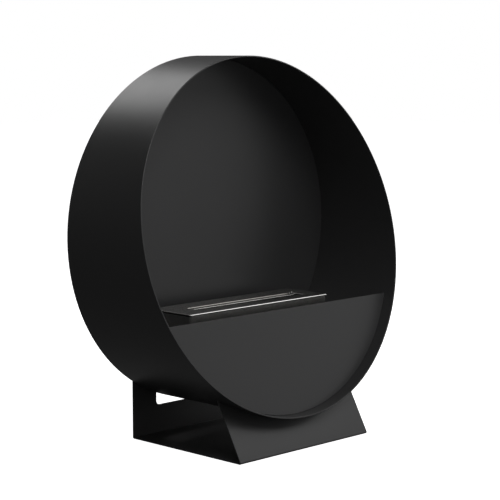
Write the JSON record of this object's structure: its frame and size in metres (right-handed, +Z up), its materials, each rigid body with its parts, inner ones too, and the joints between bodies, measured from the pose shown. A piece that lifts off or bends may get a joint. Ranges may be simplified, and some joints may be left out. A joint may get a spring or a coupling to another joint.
{
  "type": "bioethanol fireplace",
  "caption": "Round floor-standing bioethanol fireplace: steel drum with a front rim that leans back, on a folded sheet stand, with a lift-out burner and a sliding damper.",
  "frame": {"origin": "middle of the overall box, on the floor", "axes": "+Z up, -Y towards the open front, +X to the right when seen from the front"},
  "size_m": [0.8, 0.3582, 0.875],
  "materials": {
    "powder_coat": "black powder coat, fine texture, satin",
    "stainless": "brushed stainless steel",
    "zinc": "zinc plated",
    "rubber_pad": "matt",
    "ceramic_wool": "white ceramic fibre"
  },
  "bodies": {
    "frame": {"drum_shell": "powder_coat", "back_panel": "powder_coat", "back_panel_tabs": "powder_coat", "back_panel_studs": "zinc", "back_panel_nuts": "zinc", "front_panel": "powder_coat", "front_panel_tabs": "powder_coat", "front_panel_studs": "zinc", "front_panel_nuts": "zinc", "stand": "powder_coat", "stand_pads": "rubber_pad", "stand_saddle": "powder_coat", "saddle_studs": "zinc", "saddle_washers": "zinc", "saddle_nuts": "zinc", "rear_bosses": "zinc", "rear_washers": "zinc", "rear_bolts": "zinc", "burner_shelf": "powder_coat", "shelf_cleat_left": "powder_coat", "shelf_cleat_right": "powder_coat", "shelf_screws": "zinc", "shelf_nuts": "zinc"},
    "burner": {"burner_box": "stainless", "burner_feet": "stainless", "burner_top_plate": "stainless", "plate_studs": "zinc", "plate_nuts": "zinc", "damper_rail_left": "stainless", "damper_rail_right": "stainless", "fuel_tank": "stainless", "fuel_wool": "ceramic_wool", "wool_grille": "stainless"},
    "damper": {"damper_plate": "stainless", "damper_knob": "stainless"}
  },
  "joints": [
    {"name": "burner_lift", "type": "slide", "parent": "frame", "child": "burner", "axis": [0, 0, 1], "range_m": [0, 0.12]},
    {"name": "damper_slide", "type": "slide", "parent": "burner", "child": "damper", "axis": [0, -1, 0], "range_m": [0, 0.0338]}
  ]
}
